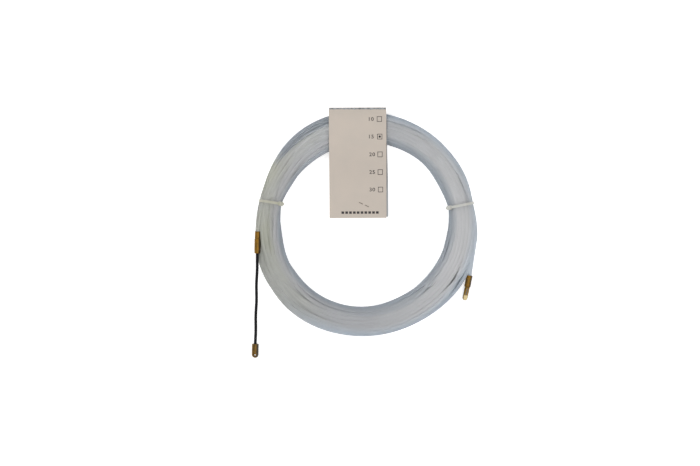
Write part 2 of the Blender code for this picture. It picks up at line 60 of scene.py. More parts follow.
# The routes of the tape's two free ends, from the coil to their ferrules
FRONT_ROUTE = (
    (-0.1029, 0.0204, 0.0126),
    (-0.1049, 0.0100, 0.0126),
    (-0.1063, 0.0010, 0.0125),
    (-0.1070, -0.0071, 0.0123),
)
REAR_ROUTE = (
    (0.1094, -0.0200, 0.0082),
    (0.1077, -0.0310, 0.0078),
    (0.1063, -0.0410, 0.0071),
    (0.1047, -0.0512, 0.0061),
)
FRONT_START = Vector((-0.1070, -0.0071, 0.0123))
FRONT_END = Vector((-0.1102, -0.1340, 0.0032))
REAR_START = Vector((0.1047, -0.0512, 0.0061))
REAR_END = Vector((0.0998, -0.0763, 0.0033))
FRONT_FERRULE_LENGTH = 0.0072
LEADER_FERRULE_LENGTH = 0.0150
REAR_FERRULE_LENGTH = 0.0120
TIP_LENGTH = 0.0142
LEADER_RADIUS = 0.00155
STUD_RADIUS = 0.0015
STUD_LENGTH = 0.0035
GAP = 0.0003

# How the tape is wound: clockwise from the left tie, over the top, to the right side
WOUND_FROM = 167.0
STATIONS = 48
WHOLE_TURNS = 24
LAST_STATIONS = 23
FIRST_PLACE = (0.1050, 0.0127)
LAST_PLACE = (0.1110, 0.0083)
WINDING_ROUNDS = 500
WINDING_SEED = 5
# How far a turn may pass over nearer places in the section, in the section's half widths
WANDER = 0.8
# The share of the way to the bundle's full width that a round spreads the strands, and the share of each
# overlap by which it pushes two strands apart
SPREAD_SHARE = 0.27
PUSH_SHARE = 0.35
# How often a round straightens the tape, how often it does so in the last rounds, the share of the rounds
# that comes before those, and how often each round pushes the strands apart
STRAIGHTENINGS = 6
LAST_STRAIGHTENINGS = 4
LAST_ROUNDS_FROM = 0.85
PUSHES = 3
# The bundle's inner and outer radii, and the places where they swell or shrink: the place's angle and
# spread in degrees, and the change of the inner and the outer radius there
INNER_RADIUS = 0.0826
OUTER_RADIUS = 0.1118
SWELLS = (
    (46.0, 12.0, 0.0013, 0.0000),
    (118.0, 30.0, -0.0020, 0.0029),
    (160.0, 22.0, 0.0006, -0.0034),
    (228.0, 32.0, 0.0014, 0.0030),
    (300.0, 22.0, -0.0026, -0.0006),
    (335.0, 24.0, -0.0014, 0.0031),
)
# Each tie's angle, and the inner radius, outer radius and height of its loop
TIES = ((166.9, 0.0852, 0.1086, 0.0210), (11.1, 0.0839, 0.1110, 0.0196))
TIE_THICKNESS = 0.0012
# How far either side of a tie, in degrees, it narrows the bundle and sets its height
TIE_NARROWS = 8.0
TIE_RAISES = 3.5
# The bundle's section: its area and shape, the share of its box that the shape fills, and how far past the
# edges above its strands may lie
SECTION_AREA = 0.000400
SECTION_ROUNDNESS = 2.5
SECTION_FILL = 0.845
EDGE_SLACK = 0.0001
# The room kept over the bundle for the card's front panel, and under it for the back panel
TAG_ROOM = 0.0005
TAG_CLEARANCE = 0.0014
# The room for the back panel begins where the angle's sine is TAG_SHIFT / TAG_EASE, over a stretch that a
# greater TAG_EASE shortens
TAG_EASE = 8
TAG_SHIFT = 0.8

# The folded card tag
TAG_LEFT = -0.0355
TAG_RIGHT = 0.0217
TAG_FREE_END = 0.0062
TAG_FOLD = 0.1167
TAG_TURN = 0.3
CARD = 0.0004
COIL_HEIGHT = 0.0170
TAG_BACK_HEIGHT = 0.00085
TAG_FOLD_START = 0.1040
TAG_SLOPE_TOP = 0.0900
TAG_SLOPE_BOTTOM = 0.0300
TAG_CLOSED_HEIGHT = TAG_BACK_HEIGHT + CARD + 0.00015
TAG_TOP_HEIGHT = COIL_HEIGHT + GAP + CARD / 2
# How far the print stands off the card, and how finely it is cut to follow the card's slope
INK_HEIGHT = 0.00004
STRIP = 0.001
NUMBER_STRETCH = 1.10
FIRST_ROW = 0.1045
ROW_PITCH = 0.01745


def at(x, y, z=0.0):
    """A point given from the coil's axis, in the frame."""
    return Vector((COIL_X + x, COIL_Y + y, z))


def link(obj):
    bpy.context.scene.collection.objects.link(obj)
    return obj


# ---------------------------------------------------------------- camera, light and floor


def make_camera():
    """Straight above the table, with the coil a little right of the middle."""
    data = bpy.data.cameras.new("camera")
    data.lens = 100.0
    data.sensor_width = 36.0
    data.clip_start = 0.01
    camera = link(bpy.data.objects.new("camera", data))
    camera.location = at(-0.0150, -0.0088, 1.9529)
    bpy.context.scene.camera = camera


def make_area_light(name, location, target, size, power):
    data = bpy.data.lights.new(name, "AREA")
    data.shape = "SQUARE"
    data.size = size
    data.energy = power
    light = link(bpy.data.objects.new(name, data))
    light.location = location
    light.visible_camera = False
    light.rotation_euler = (Vector(target) - Vector(location)).to_track_quat("-Z", "Y").to_euler()


def make_stage():
    scene = bpy.context.scene
    scene.view_settings.view_transform = "Standard"
    world = bpy.data.worlds.new("studio")
    world.use_nodes = True
    background = world.node_tree.nodes["Background"]
    background.inputs["Color"].default_value = (1.0, 1.0, 1.0, 1.0)
    background.inputs["Strength"].default_value = 0.40
    scene.world = world
    make_area_light("key", (-0.60, 0.35, 1.00), (0.0, 0.0, 0.0), 0.55, 4.6)
    make_area_light("fill", (0.45, -0.40, 1.25), (0.0, 0.0, 0.0), 1.30, 7.2)

    mesh = bpy.data.meshes.new("floor")
    grid = bmesh.new()
    bmesh.ops.create_grid(grid, x_segments=1, y_segments=1, size=2.5)
    grid.to_mesh(mesh)
    grid.free()
    floor = link(bpy.data.objects.new("floor", mesh))
    floor.location = (0.0, 0.0, -0.0002)
    mesh.materials.append(plain_material("floor", (0.86, 0.86, 0.86), 0.9, emission=0.62))


# ---------------------------------------------------------------- materials


def plain_material(name, colour, roughness, metallic=0.0, emission=0.0):
    material = bpy.data.materials.new(name)
    material.use_nodes = True
    shader = material.node_tree.nodes["Principled BSDF"]
    shader.inputs["Base Color"].default_value = (*colour, 1.0)
    shader.inputs["Roughness"].default_value = roughness
    shader.inputs["Metallic"].default_value = metallic
    if emission:
        shader.inputs["Emission Color"].default_value = (1.0, 1.0, 1.0, 1.0)
        shader.inputs["Emission Strength"].default_value = emission
    material.diffuse_color = (*colour, 1.0)
    return material


class Nodes:
    """A short way to lay shader nodes into a material."""

    def __init__(self, material):
        self.tree = material.node_tree
        self.shader = self.tree.nodes["Principled BSDF"]

    def add(self, kind, inputs=None, **settings):
        node = self.tree.nodes.new(kind)
        for name, value in settings.items():
            setattr(node, name, value)
        for name, value in (inputs or {}).items():
            if isinstance(value, bpy.types.NodeSocket):
                self.tree.links.new(value, node.inputs[name])
            else:
                node.inputs[name].default_value = value
        return node

    def place(self, scale=(1.0, 1.0, 1.0)):
        """Object coordinates, stretched."""
        source = self.add("ShaderNodeTexCoord").outputs["Object"]
        mapping = self.add("ShaderNodeMapping", {"Vector": source, "Scale": scale})
        return mapping.outputs["Vector"]

    def noise(self, vector, scale, detail=3.0, roughness=0.5):
        inputs = {"Vector": vector, "Scale": scale, "Detail": detail, "Roughness": roughness}
        return self.add("ShaderNodeTexNoise", inputs).outputs["Fac"]

    def ramp(self, value, low, high, to_low=0.0, to_high=1.0):
        inputs = {"Value": value, "From Min": low, "From Max": high, "To Min": to_low, "To Max": to_high}
        return self.add("ShaderNodeMapRange", inputs).outputs["Result"]

    def math(self, operation, first, second=0.0):
        return self.add("ShaderNodeMath", {0: first, 1: second}, operation=operation).outputs["Value"]

    def vector(self, operation, first, second=(0.0, 0.0, 0.0)):
        """The result of a sum on vectors, which is a number for a length, a distance or a dot product."""
        node = self.add("ShaderNodeVectorMath", {0: first, 1: second}, operation=operation)
        is_number = operation in ("LENGTH", "DISTANCE", "DOT_PRODUCT")
        return node.outputs["Value" if is_number else "Vector"]

    def scaled(self, vector, scale):
        inputs = {0: vector, "Scale": scale}
        return self.add("ShaderNodeVectorMath", inputs, operation="SCALE").outputs["Vector"]

    def mix(self, share, first, second):
        """The two colours, mixed by share."""
        node = self.add("ShaderNodeMix", data_type="RGBA")
        for index, value in ((0, share), (6, first), (7, second)):
            if isinstance(value, bpy.types.NodeSocket):
                self.tree.links.new(value, node.inputs[index])
            else:
                node.inputs[index].default_value = (*value, 1.0) if index else value
        return node.outputs[2]

    def to_shader(self, **sockets):
        for name, value in sockets.items():
            self.tree.links.new(value, self.shader.inputs[name.replace("_", " ")])

    def bump(self, height, strength, distance):
        inputs = {"Height": height, "Strength": strength, "Distance": distance}
        self.to_shader(Normal=self.add("ShaderNodeBump", inputs).outputs["Normal"])


def tape_material():
    """Translucent nylon, whose strands melt together.

    Each strand's normals lean toward the whole bundle's, so the bundle is lit as one body. Its colour is
    cool at both edges and yellower on the left. Light and shade are also painted into it: lighter on
    the right side and the outer edge, painted shade on the inner edge, the lower strands at the bottom and
    the band beside the tag, and painted highlight and shade streaks and glints along the strands.
    """
    neutral = (0.345, 0.350, 0.364)
    # A darker blue-grey, for the painted shade on the inner edge and the lower strands.
    inner_shade_blue = (0.262, 0.292, 0.326)
    material = plain_material("tape_nylon", neutral, 0.38)
    nodes = Nodes(material)
    shader = nodes.shader
    shader.subsurface_method = "BURLEY"
    shader.inputs["Subsurface Weight"].default_value = 0.9
    shader.inputs["Subsurface Radius"].default_value = (1.0, 1.0, 1.0)
    shader.inputs["Subsurface Scale"].default_value = 0.006
    shader.inputs["IOR"].default_value = 1.53
    shader.inputs["Specular IOR Level"].default_value = 0.35
    source = nodes.add("ShaderNodeTexCoord").outputs["Object"]
    centred = nodes.vector("SUBTRACT", source, (COIL_X, COIL_Y, 0.0))
    flat = nodes.vector("MULTIPLY", centred, (1.0, 1.0, 0.0))
    away = nodes.vector("LENGTH", flat)
    outward = nodes.vector("NORMALIZE", flat)
    core = nodes.vector("ADD", nodes.scaled(outward, COIL_MIDDLE), (0.0, 0.0, -SHADING_DEPTH))
    bundle = nodes.vector("NORMALIZE", nodes.vector("SUBTRACT", centred, core))
    own = nodes.add("ShaderNodeNewGeometry").outputs["Normal"]
    agree = nodes.vector("DOT_PRODUCT", own, bundle)
    share = nodes.math("MULTIPLY", nodes.math("MAXIMUM", agree, 0.0), 3.0)
    soft = nodes.vector("NORMALIZE", nodes.vector("ADD", own, nodes.scaled(bundle, share)))
    nodes.to_shader(Normal=soft)

    turned = nodes.add("ShaderNodeVectorRotate", {"Vector": flat, "Angle": math.radians(-25.0)})
    oval = nodes.vector("LENGTH", nodes.vector("MULTIPLY", turned.outputs[0], (0.982, 1.020, 1.0)))
    across = nodes.add("ShaderNodeSeparateXYZ", {0: source}).outputs["X"]
    leftness = nodes.ramp(across, -0.030, -0.098)
    rightness = nodes.ramp(across, 0.000, 0.090)
    inner_edge = nodes.ramp(oval, 0.0885, 0.0850)
    outer_edge = nodes.ramp(away, 0.1030, 0.1110)
    cloud = nodes.ramp(nodes.noise(nodes.place(), 28.0, 2.0), 0.35, 0.65, 0.4, 1.0)
    # Painted light: the bundle's right side is painted lighter, as the light falls there.
    body = nodes.mix(rightness, neutral, (0.452, 0.454, 0.462))
    yellow = nodes.math("MULTIPLY", nodes.math("MULTIPLY", leftness, cloud), nodes.ramp(away, 0.0905, 0.0965))
    body = nodes.mix(leftness, body, (0.345, 0.345, 0.350))
    body = nodes.mix(yellow, body, (0.330, 0.336, 0.278))
    # The outer edge, except on the left, has a bluer tint and is also painted lighter, as painted light
    # against its shade where the bundle curves away.
    cool = nodes.math("MULTIPLY", outer_edge, nodes.ramp(across, -0.09, -0.02))
    body = nodes.mix(cool, body, (0.440, 0.490, 0.545))
    rightward = nodes.ramp(across, -0.060, 0.000)
    rim = nodes.math("MULTIPLY", rightward, nodes.ramp(across, 0.104, 0.088))
    rim = nodes.math("MULTIPLY", rim, nodes.ramp(away, 0.1075, 0.1105, 0.0, 0.6))
    body = nodes.mix(rim, body, (0.300, 0.345, 0.405))
    # Painted shade: the lower strands along the inner side, at the bottom and right, are painted darker and
    # bluer where other strands cross over them.
    crossing = nodes.vector("DOT_PRODUCT", outward, (0.26, -0.97, 0.0))
    crossing = nodes.ramp(crossing, 0.75, 0.97, 0.0, 0.0030)
    inner_layer = nodes.ramp(nodes.math("SUBTRACT", oval, crossing), 0.0915, 0.0890, 0.0, 0.5)
    inner_layer = nodes.math("MULTIPLY", inner_layer, rightward)
    body = nodes.mix(inner_layer, body, inner_shade_blue)
    # Painted shade: the outer band beside the tag, where the light is weakest, is painted darker, with a
    # darker painted line inside it.
    beside_tag = nodes.vector("DISTANCE", centred, (-0.060, 0.095, 0.006))
    beside_tag = nodes.ramp(beside_tag, 0.048, 0.030)
    band = nodes.math("MULTIPLY", nodes.ramp(away, 0.1045, 0.1068), beside_tag)
    body = nodes.mix(band, body, (0.215, 0.243, 0.275))
    line = nodes.math("ABSOLUTE", nodes.math("SUBTRACT", away, 0.1077))
    line = nodes.math("MULTIPLY", nodes.ramp(line, 0.0010, 0.0004), beside_tag)
    body = nodes.mix(line, body, (0.130, 0.145, 0.160))
    # Painted shade: the inner edge is painted darker and bluer.
    body = nodes.mix(inner_edge, body, inner_shade_blue)
    uv = nodes.add("ShaderNodeUVMap", uv_map="UVMap").outputs["UV"]
    around = nodes.add("ShaderNodeMapping", {"Vector": uv, "Scale": (13.0, 260.0, 1.0)}).outputs["Vector"]
    # Painted light along the strands: pale streaks are painted highlights, dark streaks are painted shade at
    # the strands' edges.
    streak = nodes.noise(around, 1.0, 2.0)
    pale = nodes.ramp(streak, 0.54, 0.74, 0.0, 0.5)
    dark = nodes.ramp(streak, 0.46, 0.28, 0.0, 0.25)
    body = nodes.mix(pale, body, (0.47, 0.50, 0.54))
    body = nodes.mix(dark, body, (0.22, 0.24, 0.265))
    thin = nodes.add("ShaderNodeMapping", {"Vector": uv, "Scale": (20.0, 170.0, 1.0)}).outputs["Vector"]
    glint = nodes.ramp(nodes.noise(thin, 1.0, 1.0), 0.60, 0.66)
    near_tag = nodes.vector("DISTANCE", centred, (-0.046, 0.086, 0.012))
    near_tag = nodes.ramp(near_tag, 0.045, 0.015)
    glint = nodes.math("MULTIPLY", glint, near_tag)
    nodes.to_shader(Base_Color=nodes.mix(glint, body, (0.86, 0.88, 0.90)))
    shader.inputs["Coat Weight"].default_value = 0.25
    shader.inputs["Coat Roughness"].default_value = 0.15
    return material


def brass_material(name, bright, dark, roughness, mottling=0.5, shade_from=0.30):
    """Turned brass with fine tool lines. Tarnish gathers in blotches, and the side that faces right is
    painted dark as shade.
    """
    material = plain_material(name, bright, roughness)
    nodes = Nodes(material)
    blotch = nodes.ramp(nodes.noise(nodes.place(), 420.0, 4.0, 0.6), 0.38, 0.66, 0.0, mottling)
    # Painted shade: the side facing right is darkened, as it faces away from the light.
    facing = nodes.add("ShaderNodeTexCoord").outputs["Normal"]
    rightward = nodes.add("ShaderNodeSeparateXYZ", {0: facing}).outputs["X"]
    ragged = nodes.ramp(nodes.noise(nodes.place(), 300.0, 3.0), 0.3, 0.7, -0.15, 0.15)
    shade = nodes.ramp(nodes.math("ADD", rightward, ragged), shade_from, shade_from + 0.45, 0.0, 0.9)
    tarnish_and_shade = nodes.math("MAXIMUM", blotch, shade)
    nodes.to_shader(Base_Color=nodes.mix(tarnish_and_shade, bright, dark))
    nodes.to_shader(Metallic=nodes.ramp(tarnish_and_shade, 0.2, 1.0, 1.0, 0.35))
    rough = nodes.ramp(nodes.noise(nodes.place(), 260.0, 3.0), 0.3, 0.7, roughness * 0.8, roughness * 1.25)
    nodes.to_shader(Roughness=rough)
    lines = nodes.noise(nodes.place((60.0, 5200.0, 60.0)), 1.0, 2.0)
    nodes.bump(lines, 0.18, 0.00006)
    return material


def eye_material():
    """The same brass, tarnished near the ferrule, with painted shade down its sides and a painted highlight
    toward its end.
    """
    brown = (0.290, 0.165, 0.034)
    material = plain_material("eye_brass_painted_light", brown, 0.30)
    nodes = Nodes(material)
    source = nodes.add("ShaderNodeTexCoord")
    toward_end = (REAR_END - REAR_START).normalized()
    from_end = nodes.vector("SUBTRACT", source.outputs["Object"], at(*REAR_END))
    from_end = nodes.vector("DOT_PRODUCT", from_end, toward_end)
    ragged = nodes.ramp(nodes.noise(nodes.place(), 500.0, 3.0), 0.3, 0.7, -0.0006, 0.0006)
    along = nodes.math("ADD", from_end, ragged)
    wear_and_highlight = nodes.math("MULTIPLY", nodes.ramp(along, -0.0062, -0.0046), nodes.ramp(along, -0.0004, -0.0010))
    normal = nodes.add("ShaderNodeSeparateXYZ", {0: source.outputs["Normal"]})
    flat = nodes.ramp(normal.outputs["Z"], 0.80, 0.92)
    # Painted shade: the sides, facing away from up, are painted near black.
    rim = nodes.ramp(normal.outputs["Z"], 0.60, 0.25)
    blotch = nodes.ramp(nodes.noise(nodes.place(), 420.0, 4.0, 0.6), 0.40, 0.62, 0.0, 0.6)
    body = nodes.mix(blotch, brown, (0.125, 0.092, 0.035))
    # Painted highlight: the upward face near the end is painted bright brass.
    body = nodes.mix(nodes.math("MULTIPLY", wear_and_highlight, flat), body, (0.62, 0.50, 0.26))
    nodes.to_shader(Base_Color=nodes.mix(rim, body, (0.040, 0.028, 0.014)))
    nodes.to_shader(Metallic=nodes.ramp(nodes.math("MAXIMUM", rim, wear_and_highlight), 0.0, 1.0, 0.9, 0.4))
    nodes.to_shader(Roughness=nodes.ramp(nodes.noise(nodes.place(), 260.0, 3.0), 0.3, 0.7, 0.22, 0.42))
    nodes.bump(nodes.noise(nodes.place((60.0, 5200.0, 60.0)), 1.0, 2.0), 0.15, 0.00005)
    return material


def leader_material():
    """Blackened wire with bright painted highlight specks."""
    dark = (0.012, 0.012, 0.014)
    material = plain_material("leader_steel", dark, 0.42, metallic=0.75)
    nodes = Nodes(material)
    # Painted highlights: bright specks on the dark wire.
    speck = nodes.ramp(nodes.noise(nodes.place(), 900.0, 3.0, 0.7), 0.60, 0.70, 0.0, 0.40)
    nodes.to_shader(Base_Color=nodes.mix(speck, dark, (0.12, 0.12, 0.13)))
    nodes.bump(nodes.noise(nodes.place(), 2600.0, 2.0), 0.25, 0.00008)
    return material


def tie_material():
    """Natural moulded nylon, a little yellower than the tape, and more so on the left; the right tie is
    painted lighter, as painted light.
    """
    colour = (0.590, 0.580, 0.500)
    material = plain_material("tie_nylon", colour, 0.42)
    nodes = Nodes(material)
    nodes.shader.inputs["Subsurface Weight"].default_value = 0.5
    nodes.shader.inputs["Subsurface Radius"].default_value = (1.0, 0.95, 0.8)
    nodes.shader.inputs["Subsurface Scale"].default_value = 0.0015
    cloud = nodes.ramp(nodes.noise(nodes.place(), 300.0), 0.3, 0.7)
    source = nodes.add("ShaderNodeTexCoord").outputs["Object"]
    rightness = nodes.ramp(nodes.add("ShaderNodeSeparateXYZ", {0: source}).outputs["X"], -0.09, 0.09)
    # Painted light: the right tie is painted lighter than the left one; the left one is also yellower.
    left_tie_tone = nodes.mix(cloud, (0.470, 0.462, 0.376), (0.540, 0.532, 0.436))
    right_tie_tone = nodes.mix(cloud, (0.575, 0.576, 0.545), (0.645, 0.648, 0.615))
    nodes.to_shader(Base_Color=nodes.mix(rightness, left_tie_tone, right_tie_tone))
    nodes.bump(nodes.noise(nodes.place(), 1500.0), 0.12, 0.0001)
    return material


def card_material():
    """Uncoated board: short fibres, faint mottling, and a printed grey band with broken ink at the fold."""
    colour = (0.615, 0.545, 0.480)
    material = plain_material("tag_card", colour, 0.82)
    nodes = Nodes(material)
    fibres = nodes.noise(nodes.place((1.0, 2.2, 1.0)), 950.0, 4.0, 0.7)
    cloud = nodes.noise(nodes.place(), 60.0, 2.0)
    board = nodes.mix(nodes.ramp(cloud, 0.3, 0.7), (0.602, 0.538, 0.474), (0.630, 0.556, 0.486))
    board = nodes.mix(nodes.ramp(fibres, 0.35, 0.75, 0.0, 0.10), board, (0.45, 0.39, 0.33))
    source = nodes.add("ShaderNodeTexCoord").outputs["Object"]
    split = nodes.add("ShaderNodeSeparateXYZ", {0: source})
    ragged = nodes.noise(nodes.place((1.0, 0.0, 0.0)), 240.0, 3.0, 0.7)
    ragged = nodes.ramp(ragged, 0.3, 0.7, -0.0006, 0.0006)
    edge = nodes.math("ADD", split.outputs["Y"], ragged)
    lower_edge = nodes.math("ADD", split.outputs["Z"], ragged)
    band_y = COIL_Y + 0.1143
    band_height = 0.0120
    fade = 0.0004
    band = nodes.ramp(edge, band_y, band_y + fade)
    band = nodes.math("MULTIPLY", band, nodes.ramp(lower_edge, band_height, band_height + fade))
    ink_cells = nodes.noise(nodes.place((1.0, 0.2, 0.2)), 330.0, 2.0, 0.5)
    broken = nodes.ramp(ink_cells, 0.44, 0.60)
    grey = nodes.mix(broken, (0.36, 0.38, 0.39), (0.18, 0.19, 0.20))
    nodes.to_shader(Base_Color=nodes.mix(band, board, grey))
    nodes.bump(fibres, 0.22, 0.0001)
    return material


def ink_material():
    """Black print, faded in specks."""
    material = plain_material("ink", (0.030, 0.026, 0.028), 0.7)
    nodes = Nodes(material)
    faded = nodes.ramp(nodes.noise(nodes.place(), 1800.0, 3.0), 0.45, 0.75, 0.0, 0.5)
    nodes.to_shader(Base_Color=nodes.mix(faded, (0.028, 0.024, 0.026), (0.16, 0.14, 0.13)))
    return material


def staple_material():
    """Dull steel wire, worn in places."""
    material = plain_material("staple_steel", (0.16, 0.15, 0.12), 0.35, metallic=0.9)
    nodes = Nodes(material)
    wear_and_highlight = nodes.ramp(nodes.noise(nodes.place(), 1200.0), 0.4, 0.7)
    nodes.to_shader(Base_Color=nodes.mix(wear_and_highlight, (0.09, 0.085, 0.06), (0.24, 0.22, 0.17)))
    return material


# ---------------------------------------------------------------- the tape


def bundle_edge(angle, radius, column):
    """The bundle's edge at each angle: a circle that swells or shrinks smoothly at a few places round it."""
    edge = np.full(np.shape(angle), radius)
    for swell in SWELLS:
        gap = (angle - swell[0] + 180) % 360 - 180
        edge += swell[column] * np.exp(-((gap / swell[1]) ** 2))
    return edge


def bundle_section(angle):
    """Where strands' centres may lie at each angle: middle radius and height, half width, half height."""
    inner = bundle_edge(angle, INNER_RADIUS, 2) - EDGE_SLACK
    outer = bundle_edge(angle, OUTER_RADIUS, 3) + EDGE_SLACK
    over_tag = 0.5 + 0.5 * np.tanh(np.sin(np.radians(angle)) * TAG_EASE - TAG_SHIFT)
    base = TAG_CLEARANCE * over_tag
    height = np.minimum(SECTION_AREA / (SECTION_FILL * (outer - inner)), COIL_HEIGHT - TAG_ROOM - base)
    for place, tie_inner, tie_outer, tie_height in TIES:
        gap = np.abs((angle - place + 180) % 360 - 180)
        share = np.exp(-((gap / TIE_NARROWS) ** 2))
        inner = inner + share * (tie_inner + TIE_THICKNESS - inner)
        outer = outer + share * (tie_outer - TIE_THICKNESS - outer)
        base = base + share * (TAG_CLEARANCE - base)
        raised = np.exp(-((gap / TIE_RAISES) ** 2))
        height = height + raised * (tie_height - 2 * TIE_THICKNESS - height)
    half_width = (outer - inner) / 2 - TAPE_RADIUS
    return (inner + outer) / 2, base + height / 2, half_width, height / 2 - TAPE_RADIUS


def front_fittings_beside():
    """The radius, height and half thickness, at each station, of the free front end and its fittings.

    They are NaN at the stations that the front end doesn't pass.
    """
    line = [(-0.1013, 0.0236, 0.0127, TAPE_RADIUS)]
    line += [(*point, TAPE_RADIUS) for point in FRONT_ROUTE]
    # Distances down the fittings, and the half thickness there: front ferrule, leader ferrule, then leader
    fittings = ((0.0, 0.0029), (0.0074, 0.0031), (0.0222, 0.0031), (0.0224, 0.0017), (0.055, 0.0017))
    for distance, radius in fittings:
        line.append((*(FRONT_START + (FRONT_END - FRONT_START).normalized() * distance), radius))
    angles = [math.degrees(math.atan2(point[1], point[0])) % 360 for point in line]
    columns = (
        [math.hypot(point[0], point[1]) for point in line],
        [point[2] for point in line],
        [point[3] for point in line],
    )
    beside = np.full((STATIONS, 3), np.nan)
    for station in range(STATIONS):
        angle = (WOUND_FROM - station * 360.0 / STATIONS) % 360
        if angles[0] + 3 < angle < angles[-1]:
            beside[station] = [np.interp(angle, angles, column) for column in columns]
    return beside


def slot_order(random):
    """The places in the section that the turns take in order: mostly near ones, now and then across."""
    count = WHOLE_TURNS + 2
    index = np.arange(count)
    reach = np.sqrt((index + 0.5) / count)
    turn = index * math.pi * (3 - math.sqrt(5))
    slots = np.stack([reach * np.cos(turn), reach * np.sin(turn)], 1)
    first_across = 0.9
    first_up = 0.35
    order = [int(np.argmin(np.hypot(slots[:, 0] - first_across, slots[:, 1] - first_up)))]
    left = [slot for slot in range(count) if slot != order[0]]
    while left:
        here = slots[order[-1]]
        costs = [np.hypot(*(slots[slot] - here)) + random.uniform(0, WANDER) for slot in left]
        order.append(left.pop(int(np.argmin(costs))))
    return slots[order]


def straighten(place, middle):
    """Eases all points but the ends toward their neighbours, measured from the bundle's middle line."""
    place[:, 0] -= middle
    place[1:-1] += 0.5 * (0.5 * (place[:-2] + place[2:]) - place[1:-1])
    place[:, 0] += middle


def spread(radius, middle, half_width, rows):
    """Where each point lies across the bundle, from -1 to 1, eased out so the strands fill its width."""
    across = (radius - middle) / half_width
    padded = np.full(rows * STATIONS, np.nan)
    padded[: len(across)] = across
    padded = padded.reshape(rows, STATIONS)
    low = np.tile(np.nanmin(padded, 0), rows)[: len(across)]
    high = np.tile(np.nanmax(padded, 0), rows)[: len(across)]
    filled = 2 * (across - low) / (high - low) - 1
    return across + SPREAD_SHARE * (filled - across)


def wind_tape():
    """The wound tape's points. The strands push each other apart inside the bundle, in smooth curves."""
    random = np.random.default_rng(WINDING_SEED)
    count = WHOLE_TURNS * STATIONS + LAST_STATIONS + 1
    index = np.arange(count)
    angle = WOUND_FROM - index * 360.0 / STATIONS
    middle, height, half_width, half_height = bundle_section(angle)
    slots = slot_order(random)
    turn = index / STATIONS
    whole = np.minimum(turn.astype(int), len(slots) - 2)
    share = turn - whole
    share = (share * share * (3 - 2 * share))[:, None]
    slot = slots[whole] * (1 - share) + slots[whole + 1] * share
    place = np.stack([middle + half_width * slot[:, 0], height + half_height * slot[:, 1]], 1)
    place[0] = FIRST_PLACE
    place[-1] = LAST_PLACE
    rows = WHOLE_TURNS + 1
    same = np.eye(rows, dtype=bool)[None]
    beside = front_fittings_beside()
    for step in range(WINDING_ROUNDS):
        is_last = step > LAST_ROUNDS_FROM * WINDING_ROUNDS
        for _ in range(LAST_STRAIGHTENINGS if is_last else STRAIGHTENINGS):
            straighten(place, middle)
        for _ in range(PUSHES):
            padded = np.full((rows * STATIONS, 2), np.nan)
            padded[:count] = place
            here = padded.reshape(rows, STATIONS, 2).transpose(1, 0, 2)
            apart = here[:, :, None, :] - here[:, None, :, :]
            distance = np.sqrt((apart**2).sum(-1)) + 1e-12
            overlap = np.where(same, 0.0, np.clip(PITCH - distance, 0, None))
            move = np.nan_to_num(apart / distance[..., None] * overlap[..., None] * PUSH_SHARE).sum(2)
            apart = here - beside[:, None, :2]
            apart[..., 1] = np.minimum(apart[..., 1], 0.0)
            distance = np.sqrt((apart**2).sum(-1)) + 1e-12
            overlap = np.clip(beside[:, None, 2] + TAPE_RADIUS - distance, 0, None)
            move += np.nan_to_num(apart / distance[..., None] * overlap[..., None])
            place += move.transpose(1, 0, 2).reshape(-1, 2)[:count]
            across = spread(place[:, 0], middle, half_width, rows)
            up = (place[:, 1] - height) / half_height
            reach = (np.abs(across) ** SECTION_ROUNDNESS + np.abs(up) ** SECTION_ROUNDNESS) ** (
                1 / SECTION_ROUNDNESS
            )
            inward = 1 / np.maximum(reach, 1.0)
            place[:, 0] = middle + half_width * across * inward
            place[:, 1] = height + half_height * up * inward
            place[0] = FIRST_PLACE
            place[-1] = LAST_PLACE
    straighten(place, middle)
    turn = np.radians(angle)
    return np.stack([place[:, 0] * np.cos(turn), place[:, 0] * np.sin(turn), place[:, 1]], 1)


def smooth_points(points, per_span):
    """Points read from a smooth curve through the given ones."""
    points = np.asarray(points)
    ends = np.vstack([2 * points[0] - points[1], points, 2 * points[-1] - points[-2]])
    before, start, stop, after = ends[:-3], ends[1:-2], ends[2:-1], ends[3:]
    spans = []
    for step in range(per_span):
        t = step / per_span
        spans.append(
            0.5
            * (
                2 * start
                + (stop - before) * t
                + (2 * before - 5 * start + 4 * stop - after) * t * t
                + (3 * start - before - 3 * stop + after) * t**3
            )
        )
    inner = np.stack(spans, 1).reshape(-1, 3)
    return np.vstack([inner, points[-1]])


def make_tape():
    into_front = FRONT_START + (FRONT_END - FRONT_START).normalized() * 0.0056
    into_rear = REAR_START + (REAR_END - REAR_START).normalized() * 0.0060
    wound = wind_tape()
    route = [tuple(into_front), *FRONT_ROUTE[::-1], *wound, *REAR_ROUTE, tuple(into_rear)]
    points = smooth_points(route, 2)
    curve = bpy.data.curves.new("tape", "CURVE")
    curve.dimensions = "3D"
    curve.bevel_depth = TAPE_RADIUS
    curve.bevel_resolution = 4
    curve.use_fill_caps = True
    spline = curve.splines.new("POLY")
    spline.points.add(len(points) - 1)
    for target, point in zip(spline.points, points):
        target.co = (*at(*point), 1.0)
    spline.use_smooth = True
    tape = link(bpy.data.objects.new("tape", curve))
    curve.materials.append(tape_material())
    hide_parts("tape_coil", "front_tape_end", "rear_tape_end")
    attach(tape, "coil")
    length = float(np.linalg.norm(np.diff(points, axis=0), axis=1).sum())
    print(f"tape length {length:.3f} m")


# ---------------------------------------------------------------- fittings


def axis_frame(start, end, distance=0.0):
    """A frame on the line from start to end, `distance` along it. Its -Z runs to the end, its Y is up."""
    z_axis = (start - end).normalized()
    x_axis = Vector((0.0, 0.0, 1.0)).cross(z_axis).normalized()
    y_axis = z_axis.cross(x_axis)
    matrix = Matrix((x_axis, y_axis, z_axis)).transposed().to_4x4()
    matrix.translation = at(*(start - z_axis * distance))
    return matrix


